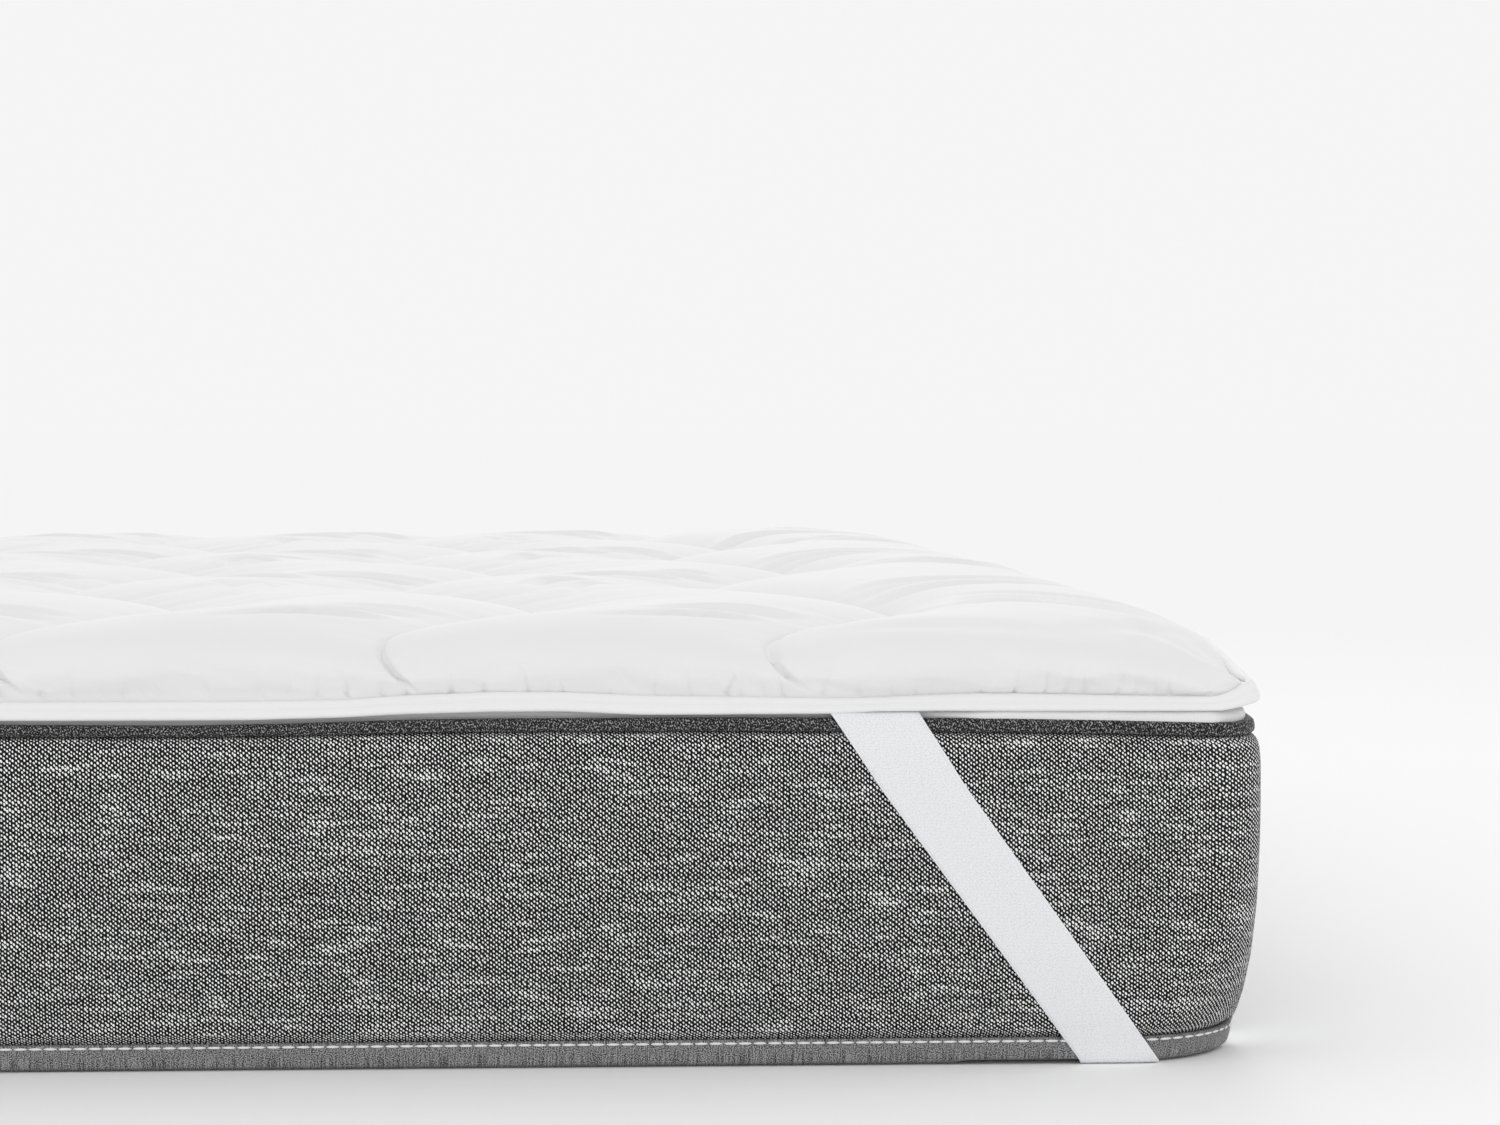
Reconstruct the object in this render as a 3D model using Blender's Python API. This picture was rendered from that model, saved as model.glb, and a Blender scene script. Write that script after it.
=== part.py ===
"""Quilted mattress topper held by elastic corner straps on a plain mattress."""
import math

import bmesh
import bpy

# ---- sizes, in metres ----
HALF_X = 0.762             # half the mattress width
HALF_Y = 1.016             # half the mattress length
CORNER_R = 0.035           # plan radius of the mattress corners
CORNER_R_LOW = 0.105       # plan radius where the corner is drawn in at the floor
DRAWN_IN_H = 0.110         # height below which the corner is drawn in
GAP = 0.0003               # clearance between touching pieces

BOTTOM_TAPE_H = 0.0180
TOP_TAPE_LOW = 0.2356
TOP_TAPE_TOP = 0.2507
TAPE_DEEP = 0.0065         # how far the edge tapes reach into the mattress
BODY_TOP = 0.2449
PANEL_LOW = 0.2452
PANEL_TOP = 0.2552

TOPPER_X = 0.762           # half sizes of the topper at its binding
TOPPER_Y = 1.015
TOPPER_R = 0.024           # plan radius of the topper's corners
TOPPER_LOW = 0.2555
SEAM_H = 0.0535            # filling under a stitched channel line
PAD_H = 0.0220             # extra height in the middle of a pad
GROOVE_IN = 0.0060         # how far a seam pulls the steep edge inward
BINDING_LOW = 0.2558
BINDING_TOP = 0.2668
BINDING_THICK = 0.0042

SEAMS = (-0.362, -0.083, 0.196, 0.474)
CHANNEL = 0.2786           # spacing of the stitched lines
WAVE_SWING = 0.064         # each line swings this far to either side
WAVE_LENGTH = 0.574

STRAP_THICK = 0.0020
STRAP_TOP_NEAR = 0.244     # strap edges, measured from the mattress corner
STRAP_TOP_FAR = 0.307
STRAP_LOW_NEAR = 0.074
STRAP_LOW_FAR = 0.131
STRAP_TOP_Z = 0.2536
GROOVE_H = 0.0027          # hollow pressed into the underside by a strap

# inset from the topper's outline and share of the full height, edge inward
EDGE_PROFILE = (
    (0.0050, 0.000),
    (0.0048, 0.230),
    (0.0004, 0.320),
    (-0.0030, 0.410),
    (-0.0020, 0.520),
    (0.0060, 0.680),
    (0.0180, 0.790),
    (0.0340, 0.870),
    (0.0560, 0.935),
    (0.0840, 0.978),
    (0.1180, 1.000),
)


def clear_scene():
    for item in list(bpy.data.objects):
        bpy.data.objects.remove(item, do_unlink=True)


def make_collection(name):
    group = bpy.data.collections.new(name)
    bpy.context.scene.collection.children.link(group)
    return group


def make_material(name, color, roughness):
    mat = bpy.data.materials.new(name)
    mat.use_nodes = True
    shader = mat.node_tree.nodes["Principled BSDF"]
    shader.inputs["Base Color"].default_value = (color[0], color[1], color[2], 1.0)
    shader.inputs["Roughness"].default_value = roughness
    shader.inputs["Metallic"].default_value = 0.0
    mat.diffuse_color = (color[0], color[1], color[2], 1.0)
    mat.roughness = roughness
    return mat


def add_object(group, name, bm, mat):
    bmesh.ops.recalc_face_normals(bm, faces=bm.faces[:])
    mesh = bpy.data.meshes.new(name)
    bm.to_mesh(mesh)
    bm.free()
    obj = bpy.data.objects.new(name, mesh)
    group.objects.link(obj)
    if mat is not None:
        mesh.materials.append(mat)
    return obj


def corner_radius(z):
    """Plan radius of the mattress at a height; larger where it is drawn in."""
    if z >= DRAWN_IN_H:
        return CORNER_R
    share = 1.0 - z / DRAWN_IN_H
    return CORNER_R + (CORNER_R_LOW - CORNER_R) * share * share


def outline(half_x, half_y, radius, steps=8):
    """Rounded rectangle, counter-clockwise, as (x, y) pairs."""
    points = []
    centres = ((1, 1, 0.0), (-1, 1, 90.0), (-1, -1, 180.0), (1, -1, 270.0))
    for sx, sy, start in centres:
        cx = sx * (half_x - radius)
        cy = sy * (half_y - radius)
        for i in range(steps + 1):
            angle = math.radians(start + 90.0 * i / steps)
            points.append((cx + radius * math.cos(angle), cy + radius * math.sin(angle)))
    return points


def ring_points(out, z, steps=8):
    radius = corner_radius(z) + out
    plan = outline(HALF_X + out, HALF_Y + out, radius, steps)
    return [(x, y, z) for x, y in plan]


def bridge(bm, low, high):
    count = len(low)
    for i in range(count):
        j = (i + 1) % count
        bm.faces.new((low[i], low[j], high[j], high[i]))


def stack(rings):
    """Closed body through a stack of equal rings, capped at both ends."""
    bm = bmesh.new()
    loops = [[bm.verts.new(p) for p in ring] for ring in rings]
    for low, high in zip(loops[:-1], loops[1:]):
        bridge(bm, low, high)
    bm.faces.new(list(reversed(loops[0])))
    bm.faces.new(loops[-1])
    return bm


def hoop(rings):
    """Closed ring-shaped body: the last ring joins the first."""
    bm = bmesh.new()
    loops = [[bm.verts.new(p) for p in ring] for ring in rings]
    for i, low in enumerate(loops):
        bridge(bm, low, loops[(i + 1) % len(loops)])
    return bm


def border_out(z):
    """How far the border fabric bulges past the tapes at a height."""
    low = BOTTOM_TAPE_H + GAP
    high = TOP_TAPE_LOW - GAP
    share = min(1.0, max(0.0, (z - low) / (high - low)))
    return 0.0042 * math.sin(math.pi * share) ** 0.7


def seam_wave(along):
    """Sideways place of every stitched line at a distance along the fabric."""
    return -WAVE_SWING * math.cos(2.0 * math.pi * along / WAVE_LENGTH)


def axis_stations(half, inner):
    """Plan place, height share and fabric distance of each row or column."""
    stations = []
    arcs = [0.0]
    for (in_a, h_a), (in_b, h_b) in zip(EDGE_PROFILE[:-1], EDGE_PROFILE[1:]):
        arcs.append(arcs[-1] + math.hypot(in_b - in_a, (h_b - h_a) * 0.07))
    total = arcs[-1]
    flat = half - EDGE_PROFILE[-1][0]
    for (inset, share), arc in zip(EDGE_PROFILE[:-1], arcs[:-1]):
        stations.append((-(half - inset), share, -(flat + total - arc)))
    for place in inner:
        stations.append((place, 1.0, place))
    for (inset, share), arc in reversed(list(zip(EDGE_PROFILE[:-1], arcs[:-1]))):
        stations.append((half - inset, share, flat + total - arc))
    return stations


def topper_columns():
    flat = TOPPER_X - EDGE_PROFILE[-1][0]
    stops = [-flat] + list(SEAMS) + [flat]
    places = [stops[0]]
    for k in range(len(stops) - 1):
        edge = k in (0, len(stops) - 2)
        count = 7 if edge else 10
        for i in range(1, count + 1):
            share = i / count
            if edge:
                bend = math.sin(0.5 * math.pi * share)
                share = bend if k == 0 else 1.0 - math.sin(0.5 * math.pi * (1.0 - share))
            else:
                share = 0.5 - 0.5 * math.cos(math.pi * share)
            places.append(stops[k] + (stops[k + 1] - stops[k]) * share)
    return axis_stations(TOPPER_X, places)


def topper_rows():
    flat = TOPPER_Y - EDGE_PROFILE[-1][0]
    count = 42
    places = [-flat + 2.0 * flat * i / count for i in range(count + 1)]
    return axis_stations(TOPPER_Y, places)


def pad_share(place):
    """0 on a stitched line, rising to 1 in the middle of a pad."""
    near = min(abs(place - seam) for seam in SEAMS)
    return math.sin(0.5 * math.pi * min(1.0, near / (0.5 * CHANNEL))) ** 0.7


def swing_weight(place):
    flat = TOPPER_X - EDGE_PROFILE[-1][0]
    if place > SEAMS[-1]:
        return max(0.0, (flat - place) / (flat - SEAMS[-1]))
    if place < SEAMS[0]:
        return max(0.0, (flat + place) / (flat + SEAMS[0]))
    return 1.0


def round_corner(x, y):
    """Fold the square plan corner of the topper into a small round one."""
    u = abs(x) - (TOPPER_X - TOPPER_R)
    v = abs(y) - (TOPPER_Y - TOPPER_R)
    if u <= 0.0 or v <= 0.0:
        return x, y
    reach = max(u, v)
    turn = 0.25 * math.pi * min(u, v) / reach
    new_u = reach * (math.cos(turn) if u >= v else math.sin(turn))
    new_v = reach * (math.sin(turn) if u >= v else math.cos(turn))
    new_x = math.copysign(TOPPER_X - TOPPER_R + new_u, x)
    new_y = math.copysign(TOPPER_Y - TOPPER_R + new_v, y)
    return new_x, new_y


def held_in(place, half, other_share):
    """Keep the filling inside the binding where the corner is pinched."""
    inset = half - abs(place)
    hold = min(1.0, (1.0 - other_share) / 0.13)
    inset += hold * max(0.0, EDGE_PROFILE[0][0] - inset)
    return math.copysign(half - inset, place)


def build_topper(group, mat):
    bm = bmesh.new()
    columns = topper_columns()
    rows = topper_rows()
    grid = []
    for y_place, y_share, y_fabric in rows:
        line = []
        over_edge = max(0.0, abs(y_fabric) - (TOPPER_Y - EDGE_PROFILE[-1][0]))
        along = math.copysign(abs(y_fabric) + 0.6 * over_edge, y_fabric) + HALF_Y
        for x_place, x_share, _ in columns:
            pad = pad_share(x_place)
            x = held_in(x_place, TOPPER_X, y_share)
            x += seam_wave(along) * swing_weight(x_place)
            y = held_in(y_place, TOPPER_Y, x_share)
            if 0.0 < y_share < 1.0:
                pull = GROOVE_IN * (1.0 - pad) * math.sin(math.pi * y_share)
                y -= math.copysign(pull, y_place)
            both = x_share + y_share - x_share * y_share
            share = x_share * y_share / both if both > 0.0 else 0.0
            z = TOPPER_LOW + SEAM_H * share + PAD_H * pad * share ** 1.5
            x, y = round_corner(x, y)
            line.append(bm.verts.new((x, y, z)))
        grid.append(line)
    last_row = len(grid) - 1
    last_col = len(grid[0]) - 1
    for j in range(last_row):
        for i in range(last_col):
            bm.faces.new((grid[j][i], grid[j][i + 1], grid[j + 1][i + 1], grid[j + 1][i]))
    rim = [grid[0][i] for i in range(last_col)]
    rim += [grid[j][last_col] for j in range(last_row)]
    rim += [grid[last_row][i] for i in range(last_col, 0, -1)]
    rim += [grid[j][0] for j in range(last_row, 0, -1)]
    bm.faces.new(list(reversed(rim)))
    return add_object(group, "topper", bm, mat)


def build_binding(group, mat):
    mid = 0.5 * (BINDING_LOW + BINDING_TOP)
    profile = (
        (-BINDING_THICK, BINDING_LOW),
        (-0.0010, BINDING_LOW),
        (0.0004, mid - 0.0025),
        (0.0004, mid + 0.0025),
        (-0.0010, BINDING_TOP),
        (-BINDING_THICK, BINDING_TOP),
    )
    rings = []
    for out, z in profile:
        plan = outline(TOPPER_X + out, TOPPER_Y + out, TOPPER_R + out)
        rings.append([(x, y, z) for x, y in plan])
    return add_object(group, "topper_binding", hoop(rings), mat)


def build_mattress(group, mat, cutter):
    levels = ((0.0, -TAPE_DEEP - GAP), (BOTTOM_TAPE_H + GAP, -TAPE_DEEP - GAP))
    rings = [ring_points(out, z) for z, out in levels]
    low = BOTTOM_TAPE_H + GAP
    high = TOP_TAPE_LOW - GAP
    for i in range(13):
        z = low + (high - low) * i / 12
        rings.append(ring_points(border_out(z), z))
    rings.append(ring_points(-TAPE_DEEP - GAP, high))
    rings.append(ring_points(-TAPE_DEEP - GAP, BODY_TOP))
    obj = add_object(group, "mattress", stack(rings), mat)
    press_straps(obj, cutter)
    return obj


def build_top_panel(group, mat):
    levels = (
        (PANEL_LOW, 0.0068),
        (0.2484, 0.0068),
        (0.2508, 0.0100),
        (0.2532, 0.0180),
        (0.2548, 0.0300),
        (PANEL_TOP, 0.0450),
    )
    rings = [ring_points(-inset, z) for z, inset in levels]
    return add_object(group, "mattress_top_panel", stack(rings), mat)


def build_top_tape(group, mat):
    profile = (
        (-TAPE_DEEP, TOP_TAPE_LOW),
        (0.0004, TOP_TAPE_LOW),
        (0.0012, 0.2400),
        (0.0012, 0.2460),
        (0.0002, 0.2492),
        (-0.0018, TOP_TAPE_TOP),
        (-0.0050, TOP_TAPE_TOP),
        (-TAPE_DEEP, 0.2498),
    )
    rings = [ring_points(out, z) for out, z in profile]
    return add_object(group, "mattress_top_tape", hoop(rings), mat)


def build_bottom_tape(group, mat, cutter):
    profile = (
        (-TAPE_DEEP, BOTTOM_TAPE_H),
        (-TAPE_DEEP, 0.0),
        (-0.0050, 0.0),
        (-0.0028, 0.0012),
        (-0.0008, 0.0040),
        (0.0, 0.0075),
        (0.0, BOTTOM_TAPE_H),
    )
    rings = [ring_points(out, z) for out, z in profile]
    obj = add_object(group, "mattress_bottom_tape", hoop(rings), mat)
    press_straps(obj, cutter)
    return obj


def build_cutter(group):
    """Shallow diagonal hollows in the underside, one under each strap."""
    bm = bmesh.new()
    near = STRAP_LOW_NEAR - 0.006
    far = STRAP_LOW_FAR + 0.015
    over = 0.030
    for sx in (-1, 1):
        for sy in (-1, 1):
            plan = ((-over, near + over), (near + over, -over), (far + over, -over), (-over, far + over))
            low = []
            high = []
            for p, q in plan:
                x = sx * (HALF_X - p)
                y = sy * (HALF_Y - q)
                low.append(bm.verts.new((x, y, -0.010)))
                high.append(bm.verts.new((x, y, GROOVE_H)))
            bridge(bm, low, high)
            bm.faces.new(low)
            bm.faces.new(high)
    obj = add_object(group, "strap_hollows", bm, None)
    obj.hide_render = True
    obj.display_type = "WIRE"
    return obj


def press_straps(obj, cutter):
    cut = obj.modifiers.new("strap_hollows", "BOOLEAN")
    cut.operation = "DIFFERENCE"
    cut.solver = "EXACT"
    cut.object = cutter


def strap_path():
    """Inner face of a strap, outward place and height, from top end to floor."""
    path = [(-0.0110, 0.2532), (-0.0050, 0.2532), (-0.0005, 0.2526), (0.0022, 0.2506)]
    path += [(0.0028, 0.2470), (0.0024, 0.2400), (0.0018, 0.2340)]
    for i in range(1, 12):
        z = 0.2340 - (0.2340 - 0.0200) * i / 12
        path.append((max(0.0010, border_out(z) + 0.0006), z))
    path += [(0.0008, 0.0190), (0.0006, 0.0090), (0.0003, 0.0050)]
    path += [(-0.0003, 0.0032), (-0.0014, 0.0023), (-0.0090, 0.0023)]
    return path


def outer_path(path):
    """The same path moved outward by the strap's thickness."""
    moved = []
    for i, point in enumerate(path):
        before = path[max(0, i - 1)]
        after = path[min(len(path) - 1, i + 1)]
        run = after[0] - before[0]
        rise = after[1] - before[1]
        size = math.hypot(run, rise)
        moved.append((point[0] - rise / size * STRAP_THICK, point[1] + run / size * STRAP_THICK))
    moved[0] = (path[0][0], path[0][1] + STRAP_THICK)
    moved[1] = (path[1][0], path[1][1] + STRAP_THICK)
    moved[-1] = (path[-1][0], path[-1][1] - STRAP_THICK)
    moved[-2] = (path[-2][0], path[-2][1] - STRAP_THICK)
    return moved


def corner_inset(distance, z):
    """How far the mattress face recedes at a distance from its corner."""
    radius = corner_radius(max(0.0, z))
    if distance >= radius:
        return 0.0
    reach = radius - distance
    return radius - math.sqrt(radius * radius - reach * reach)


def strap_rows(path, levels, across):
    """Rows of (distance from corner, inset from face, height) down one face."""
    rows = []
    for (out, z), level in zip(path, levels):
        share = min(1.0, max(0.0, level / STRAP_TOP_Z))
        row = []
        for k in range(across + 1):
            part = k / across
            low = STRAP_LOW_NEAR + (STRAP_LOW_FAR - STRAP_LOW_NEAR) * part
            high = STRAP_TOP_NEAR + (STRAP_TOP_FAR - STRAP_TOP_NEAR) * part
            distance = low + (high - low) * share
            row.append((distance, corner_inset(distance, level) - out, z))
        rows.append(row)
    return rows


def build_strap(group, mat, name, sx, sy):
    across = 6
    inner = strap_path()
    levels = [z for _, z in inner]
    sides = []
    for path in (inner, outer_path(inner)):
        rows = strap_rows(path, levels, across)
        face = []
        for row in rows:
            face.append([(sx * (HALF_X - d), sy * (HALF_Y - i), z) for d, i, z in row])
        for row in reversed(rows):
            face.append([(sx * (HALF_X - i), sy * (HALF_Y - d), z) for d, i, z in row])
        sides.append(face)
    bm = bmesh.new()
    loops = []
    for in_row, out_row in zip(sides[0], sides[1]):
        loop = [bm.verts.new(p) for p in in_row]
        loop += [bm.verts.new(p) for p in reversed(out_row)]
        loops.append(loop)
    for low, high in zip(loops[:-1], loops[1:]):
        bridge(bm, low, high)
    bm.faces.new(list(reversed(loops[0])))
    bm.faces.new(loops[-1])
    return add_object(group, name, bm, mat)


def main():
    clear_scene()
    parts = make_collection("mattress_topper")
    tools = make_collection("cutters")
    white = make_material("quilted_white_cotton", (0.86, 0.86, 0.86), 0.90)
    trim = make_material("white_edge_binding", (0.80, 0.80, 0.80), 0.80)
    elastic = make_material("white_ribbed_elastic", (0.78, 0.79, 0.81), 0.70)
    heather = make_material("dark_heather_border", (0.19, 0.19, 0.19), 0.90)
    panel = make_material("white_knit_panel", (0.84, 0.84, 0.82), 0.90)
    charcoal = make_material("charcoal_twill_tape", (0.045, 0.045, 0.048), 0.75)
    grey = make_material("grey_woven_tape", (0.16, 0.16, 0.16), 0.80)
    cutter = build_cutter(tools)
    build_mattress(parts, heather, cutter)
    build_bottom_tape(parts, grey, cutter)
    build_top_tape(parts, charcoal)
    build_top_panel(parts, panel)
    build_topper(parts, white)
    build_binding(parts, trim)
    build_strap(parts, elastic, "strap_front_right", 1, -1)
    build_strap(parts, elastic, "strap_front_left", -1, -1)
    build_strap(parts, elastic, "strap_back_right", 1, 1)
    build_strap(parts, elastic, "strap_back_left", -1, 1)


main()
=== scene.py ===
"""A quilted mattress topper held on a mattress by elastic corner straps.

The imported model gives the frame; every piece here is the finished cloth that
stands where its plain solid stands. Lengths are in metres.
"""

import math

import bmesh
import bpy
import numpy as np
from mathutils import Matrix, Vector


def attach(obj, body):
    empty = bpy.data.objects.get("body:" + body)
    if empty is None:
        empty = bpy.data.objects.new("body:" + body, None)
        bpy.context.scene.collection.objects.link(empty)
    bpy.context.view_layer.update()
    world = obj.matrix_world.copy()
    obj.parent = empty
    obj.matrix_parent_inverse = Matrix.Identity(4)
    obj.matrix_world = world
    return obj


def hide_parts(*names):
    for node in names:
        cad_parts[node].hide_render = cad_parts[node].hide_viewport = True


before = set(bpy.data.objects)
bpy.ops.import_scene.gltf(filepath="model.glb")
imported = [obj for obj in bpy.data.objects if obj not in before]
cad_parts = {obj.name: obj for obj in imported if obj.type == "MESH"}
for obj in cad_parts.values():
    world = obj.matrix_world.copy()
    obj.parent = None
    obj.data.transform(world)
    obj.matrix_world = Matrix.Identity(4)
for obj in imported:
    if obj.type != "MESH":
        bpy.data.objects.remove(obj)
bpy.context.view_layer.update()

# ---- sizes taken over from the solids ----
HALF_X = 0.762             # half the mattress width
HALF_Y = 1.016             # half the mattress length
CORNER_R = 0.035           # plan radius of the mattress corners
BOTTOM_TAPE_H = 0.0180
TOP_TAPE_LOW = 0.2356
BODY_TOP = 0.2449
PANEL_TOP = 0.2552
TUCK = -0.0068             # where the border and the panel end behind a tape

TOPPER_X = 0.762           # half sizes of the topper at its binding
TOPPER_Y = 1.015
TOPPER_R = 0.024           # plan radius of the topper's corners
TOPPER_LOW = 0.2555
SEAM_H = 0.0535            # filling under a stitched channel line

SEAMS = (-0.362, -0.083, 0.196, 0.474)
CHANNEL = 0.2786           # spacing of the stitched lines
WAVE_SWING = 0.064         # each line swings this far to either side
WAVE_LENGTH = 0.574

STRAP_TOP_NEAR = 0.244     # strap edges, measured from the mattress corner
STRAP_TOP_FAR = 0.307
STRAP_LOW_NEAR = 0.074
STRAP_LOW_FAR = 0.131
STRAP_TOP_Z = 0.2536
STRAP_WIDTH = 0.050
STRAP_ACROSS = 14          # faces across a strap

# how far a strap strays from a straight line against its share of the height
STRAP_HEIGHTS = (0.0, 0.40, 0.79, 1.0)
STRAP_BOW = (-0.0038, 0.0006, 0.0050, 0.0029)

# the border's weave: between floats in a row, and between every second row
FLOAT_PITCH = 0.0041
ROW_PAIR = 0.00327

# inset from the topper's outline and share of the full height, edge inward
EDGE_PROFILE = (
    (0.0040, 0.000),
    (0.0036, 0.215),
    (0.0004, 0.310),
    (-0.0030, 0.410),
    (-0.0020, 0.520),
    (0.0060, 0.680),
    (0.0180, 0.790),
    (0.0340, 0.870),
    (0.0560, 0.935),
    (0.0840, 0.978),
    (0.1180, 1.000),
)

# how far the binding lifts off the mattress behind the near right corner
LIFT_DEPTH = (0.0, 0.006, 0.014, 0.024, 0.060, 0.104, 0.173, 0.205, 0.244, 0.290)
LIFT = (0.0088, 0.0104, 0.0118, 0.0130, 0.0170, 0.0225, 0.0310, 0.0300, 0.0150, 0.0)

# how far the binding there rolls outwards from hanging, in degrees
FLARE_DEPTH = (0.0, 0.012, 0.030, 0.060, 0.110, 0.180, 0.215, 0.250, 0.275)
FLARE = (0.0, 2.0, 20.0, 44.0, 56.0, 54.0, 36.0, 10.0, 0.0)

# the binding's upper and lower edge against the place along the front
BINDING_X = (-0.762, -0.300, -0.006, 0.040, 0.105, 0.152, 0.215, 0.262, 0.318, 0.455, 0.484,
             0.516, 0.556, 0.590, 0.660, 0.737)
BINDING_UP = (0.2645, 0.2625, 0.2624, 0.2624, 0.2632, 0.2664, 0.2686, 0.2682, 0.2655,
              0.2632, 0.2638, 0.2650, 0.2664, 0.2662, 0.2646, 0.2630)
BINDING_DOWN = (0.2530, 0.2510, 0.2502, 0.2504, 0.2520, 0.2542, 0.2556, 0.2556, 0.2530,
                0.2532, 0.2549, 0.2550, 0.2548, 0.2546, 0.2544, 0.2542)

# outward place and height share of the binding's cross-section, from its
# inner hem over the upper fold and down to the folded foot
BINDING_PROFILE = (
    (-0.0050, 0.86), (-0.0040, 0.98), (-0.0022, 1.04), (-0.0004, 1.02), (0.0008, 0.92),
    (0.0016, 0.78), (0.0019, 0.64), (0.0016, 0.52), (0.0023, 0.42), (0.0033, 0.30),
    (0.0037, 0.18), (0.0034, 0.07), (0.0024, 0.0), (0.0012, 0.03), (0.0004, 0.16),
)

# rate and phase of the waves that make the binding's foot uneven
BINDING_RIPPLES = ((41.0, 0.3), (97.0, 1.9), (173.0, 4.0), (29.0, 2.2))

# the charcoal tape's two edges along the front, low where the corner pulls it
TAPE_X = (-0.762, -0.690, -0.300, -0.006, 0.070, 0.160, 0.217, 0.360, 0.396, 0.500, 0.584,
          0.646, 0.717, 0.752, 0.762)
TAPE_UP = (0.2460, 0.2488, 0.2484, 0.2460, 0.2472, 0.2498, 0.2502, 0.2503, 0.2502, 0.2496,
           0.2489, 0.2477, 0.2458, 0.2449, 0.2449)
TAPE_DOWN = (0.2374, 0.2400, 0.2398, 0.2387, 0.2394, 0.2411, 0.2415, 0.2414, 0.2412, 0.2405,
             0.2396, 0.2383, 0.2366, 0.2361, 0.2361)

# how far the border swells past the tapes against height under the top tape
SWELL_DROP = (0.0, 0.002, 0.005, 0.010, 0.020, 0.060, 0.120, 0.160, 0.190, 0.205, 0.2115,
              0.2150, 0.2180)
SWELL = (-0.0010, 0.0028, 0.0050, 0.0066, 0.0075, 0.0079, 0.0072, 0.0060, 0.0042, 0.0026,
         0.0014, -0.0012, -0.0022)

# plan radius of the mattress corner against height, drawn in at the floor
CORNER_Z = (0.0, 0.0130, 0.0290, 0.0455, 0.0725, 0.1100, 0.1500, 0.2000)
CORNER_PLAN = (0.108, 0.102, 0.087, 0.073, 0.056, 0.043, 0.037, 0.035)


# ---- materials ----

def linear(code):
    """sRGB hex to linear RGBA."""
    parts = [int(code[i:i + 2], 16) / 255.0 for i in (1, 3, 5)]
    parts = [c / 12.92 if c <= 0.04045 else ((c + 0.055) / 1.055) ** 2.4 for c in parts]
    return (*parts, 1.0)


def link(tree, made, links):
    """Join each named socket of a node to its source."""
    for socket, source in links:
        tree.links.new(source, made.inputs[socket])


def node(tree, kind, links=(), values=(), **settings):
    """Add a node with its settings, its fixed sockets and its links."""
    made = tree.nodes.new("ShaderNode" + kind)
    for key, value in settings.items():
        setattr(made, key, value)
    for socket, value in values:
        made.inputs[socket].default_value = value
    link(tree, made, links)
    return made.outputs[0]


def new_material(name, roughness, sheen=0.0):
    """An empty cloth finish: its material, node tree and shader."""
    mat = bpy.data.materials.new(name)
    mat.use_nodes = True
    shader = mat.node_tree.nodes["Principled BSDF"]
    shader.inputs["Roughness"].default_value = roughness
    shader.inputs["Sheen Weight"].default_value = sheen
    shader.inputs["Sheen Roughness"].default_value = 0.5
    shader.inputs["Specular IOR Level"].default_value = 0.3
    return mat, mat.node_tree, shader


# Quilted cotton: closely woven percale, matt, without a shine at its edges.
# Threads of 0.25 mm are drawn as a 1.2 mm grain so that they just show.
def cotton_percale():
    mat, tree, shader = new_material("white_cotton_percale", 0.92, 0.01)
    place = tree.nodes.new("ShaderNodeTexCoord").outputs["Object"]
    cloud = node(tree, "TexNoise", [("Vector", place)], [("Scale", 9.0), ("Detail", 3.0)])
    tone = node(tree, "ValToRGB", [("Fac", cloud)])
    ramp = tone.node.color_ramp
    ramp.elements[0].color = linear("#e9e9e9")
    ramp.elements[1].color = linear("#eeeeee")
    grain = node(tree, "TexNoise", [("Vector", place)], [("Scale", 850.0), ("Detail", 2.0)])
    bump = node(tree, "Bump", [("Height", grain)], [("Strength", 0.05), ("Distance", 0.0004)])
    link(tree, shader, [("Base Color", tone), ("Normal", bump)])
    return mat


# Binding: folded cotton twill tape, a little shinier than the percale. Its
# ribs, 0.6 mm apart, are drawn 1.4 mm apart so that they show.
def twill_binding():
    mat, tree, shader = new_material("white_twill_binding", 0.80, 0.15)
    cloth = tree.nodes.new("ShaderNodeUVMap").outputs["UV"]
    slanted = node(tree, "Mapping", [("Vector", cloth)],
                   [("Rotation", (0.0, 0.0, 0.8)), ("Scale", (700.0, 700.0, 1.0))])
    ribs = node(tree, "TexWave", [("Vector", slanted)], [("Scale", 0.32), ("Distortion", 0.6)])
    tone = node(tree, "ValToRGB", [("Fac", ribs)])
    ramp = tone.node.color_ramp
    ramp.elements[0].color = linear("#ebebeb")
    ramp.elements[1].color = linear("#f0f0f0")
    bump = node(tree, "Bump", [("Height", ribs)], [("Strength", 0.10), ("Distance", 0.0003)])
    link(tree, shader, [("Base Color", tone), ("Normal", bump)])
    return mat


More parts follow.
